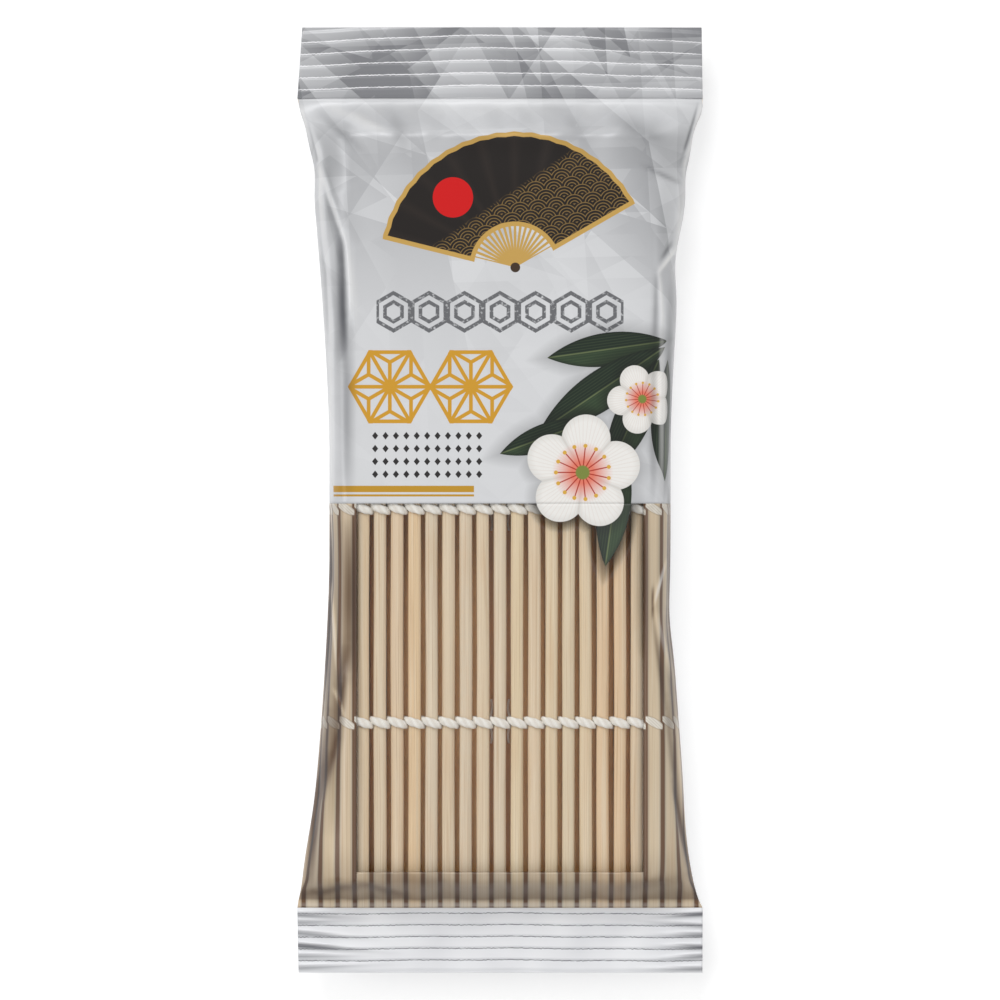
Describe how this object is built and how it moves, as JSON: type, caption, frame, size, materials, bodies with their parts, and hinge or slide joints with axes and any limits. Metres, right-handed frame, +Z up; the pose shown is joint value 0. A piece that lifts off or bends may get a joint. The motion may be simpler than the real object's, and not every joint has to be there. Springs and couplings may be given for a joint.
{
  "type": "sushi rolling mat",
  "caption": "Bamboo rolling mat of round sticks twined with cotton cord, rolled flat in a crimped film pack with a clear lower window; it slides out and unrolls.",
  "frame": {"origin": "centre of the pack's box, on the surface that it lies on", "axes": "+Z up out of the printed front, +Y along the sticks towards the tear-off seal, +X to the right of the printed front"},
  "size_m": [0.133, 0.31, 0.0302],
  "materials": {
    "bamboo": "planed, unvarnished",
    "cord": "twisted cotton",
    "printed_film": "silver-white print, soft gloss",
    "clear_film": "clear, glossy",
    "back_film": "silver-white, soft gloss",
    "seal_film": "crimped, soft gloss"
  },
  "bodies": {
    "pack": {"film_front_printed": "printed_film", "film_front_window": "clear_film", "film_back_left": "back_film", "film_back_right": "back_film", "fin_seal": "back_film", "foot_seal": "seal_film"},
    "tear_off_strip": {"tear_off_seal": "seal_film"},
    "mat_front": {"stick_13": "bamboo", "stick_14": "bamboo", "stick_15": "bamboo", "stick_16": "bamboo", "stick_17": "bamboo", "stick_18": "bamboo", "stick_19": "bamboo", "stick_20": "bamboo", "stick_21": "bamboo", "stick_22": "bamboo", "stick_23": "bamboo", "stick_24": "bamboo", "stick_25": "bamboo", "stick_26": "bamboo", "stick_27": "bamboo", "stick_28": "bamboo", "stick_29": "bamboo", "cord_foot_a": "cord", "cord_foot_b": "cord", "cord_middle_a": "cord", "cord_middle_b": "cord", "cord_head_a": "cord", "cord_head_b": "cord"},
    "left_top_corner": {"stick_12": "bamboo"},
    "left_side": {"stick_10": "bamboo", "stick_11": "bamboo"},
    "left_low_corner": {"stick_08": "bamboo", "stick_09": "bamboo"},
    "left_back": {"stick_01": "bamboo", "stick_02": "bamboo", "stick_03": "bamboo", "stick_04": "bamboo", "stick_05": "bamboo", "stick_06": "bamboo", "stick_07": "bamboo"},
    "right_top_corner": {"stick_30": "bamboo"},
    "right_side": {"stick_31": "bamboo", "stick_32": "bamboo"},
    "right_low_corner": {"stick_33": "bamboo", "stick_34": "bamboo"},
    "right_back": {"stick_35": "bamboo", "stick_36": "bamboo", "stick_37": "bamboo", "stick_38": "bamboo", "stick_39": "bamboo", "stick_40": "bamboo", "stick_41": "bamboo"}
  },
  "joints": [
    {"name": "mat_slides_out", "type": "slide", "parent": "pack", "child": "mat_front", "axis": [0, 0.9959, -0.0905], "range_m": [0, 0.27111], "deforming": ["film_front_printed", "film_front_window", "film_back_left", "film_back_right", "fin_seal", "cord_foot_a", "cord_foot_b", "cord_middle_a", "cord_middle_b", "cord_head_a", "cord_head_b"]},
    {"name": "strip_tears_off", "type": "slide", "parent": "pack", "child": "tear_off_strip", "axis": [0, 0.9987, -0.0515], "range_m": [0, 0.28237]},
    {"name": "left_front_bend", "type": "hinge", "parent": "mat_front", "child": "left_top_corner", "pos_m": [-0.0476, 0, 0.02693], "axis": [0, 1, 0], "range_deg": [0, 45]},
    {"name": "left_upper_bend", "type": "hinge", "parent": "left_top_corner", "child": "left_side", "pos_m": [-0.05156, 0, 0.02297], "axis": [0, 1, 0], "range_deg": [0, 45]},
    {"name": "left_lower_bend", "type": "hinge", "parent": "left_side", "child": "left_low_corner", "pos_m": [-0.05156, 0, 0.01177], "axis": [0, 1, 0], "range_deg": [0, 45]},
    {"name": "left_back_bend", "type": "hinge", "parent": "left_low_corner", "child": "left_back", "pos_m": [-0.04364, 0, 0.00385], "axis": [0, 1, 0], "range_deg": [0, 45]},
    {"name": "right_front_bend", "type": "hinge", "parent": "mat_front", "child": "right_top_corner", "pos_m": [0.0476, 0, 0.02693], "axis": [0, -1, 0], "range_deg": [0, 45]},
    {"name": "right_upper_bend", "type": "hinge", "parent": "right_top_corner", "child": "right_side", "pos_m": [0.05156, 0, 0.02297], "axis": [0, -1, 0], "range_deg": [0, 45]},
    {"name": "right_lower_bend", "type": "hinge", "parent": "right_side", "child": "right_low_corner", "pos_m": [0.05156, 0, 0.01177], "axis": [0, -1, 0], "range_deg": [0, 45]},
    {"name": "right_back_bend", "type": "hinge", "parent": "right_low_corner", "child": "right_back", "pos_m": [0.04364, 0, 0.00385], "axis": [0, -1, 0], "range_deg": [0, 45]}
  ],
  "couplings": [
    {"joint": "strip_tears_off", "follows": "mat_slides_out", "ratio": 1.0415},
    {"joint": "left_front_bend", "follows": "mat_slides_out", "rad_per_m": 2.897},
    {"joint": "left_upper_bend", "follows": "mat_slides_out", "rad_per_m": 2.897},
    {"joint": "left_lower_bend", "follows": "mat_slides_out", "rad_per_m": 2.897},
    {"joint": "left_back_bend", "follows": "mat_slides_out", "rad_per_m": 2.897},
    {"joint": "right_front_bend", "follows": "mat_slides_out", "rad_per_m": 2.897},
    {"joint": "right_upper_bend", "follows": "mat_slides_out", "rad_per_m": 2.897},
    {"joint": "right_lower_bend", "follows": "mat_slides_out", "rad_per_m": 2.897},
    {"joint": "right_back_bend", "follows": "mat_slides_out", "rad_per_m": 2.897}
  ]
}
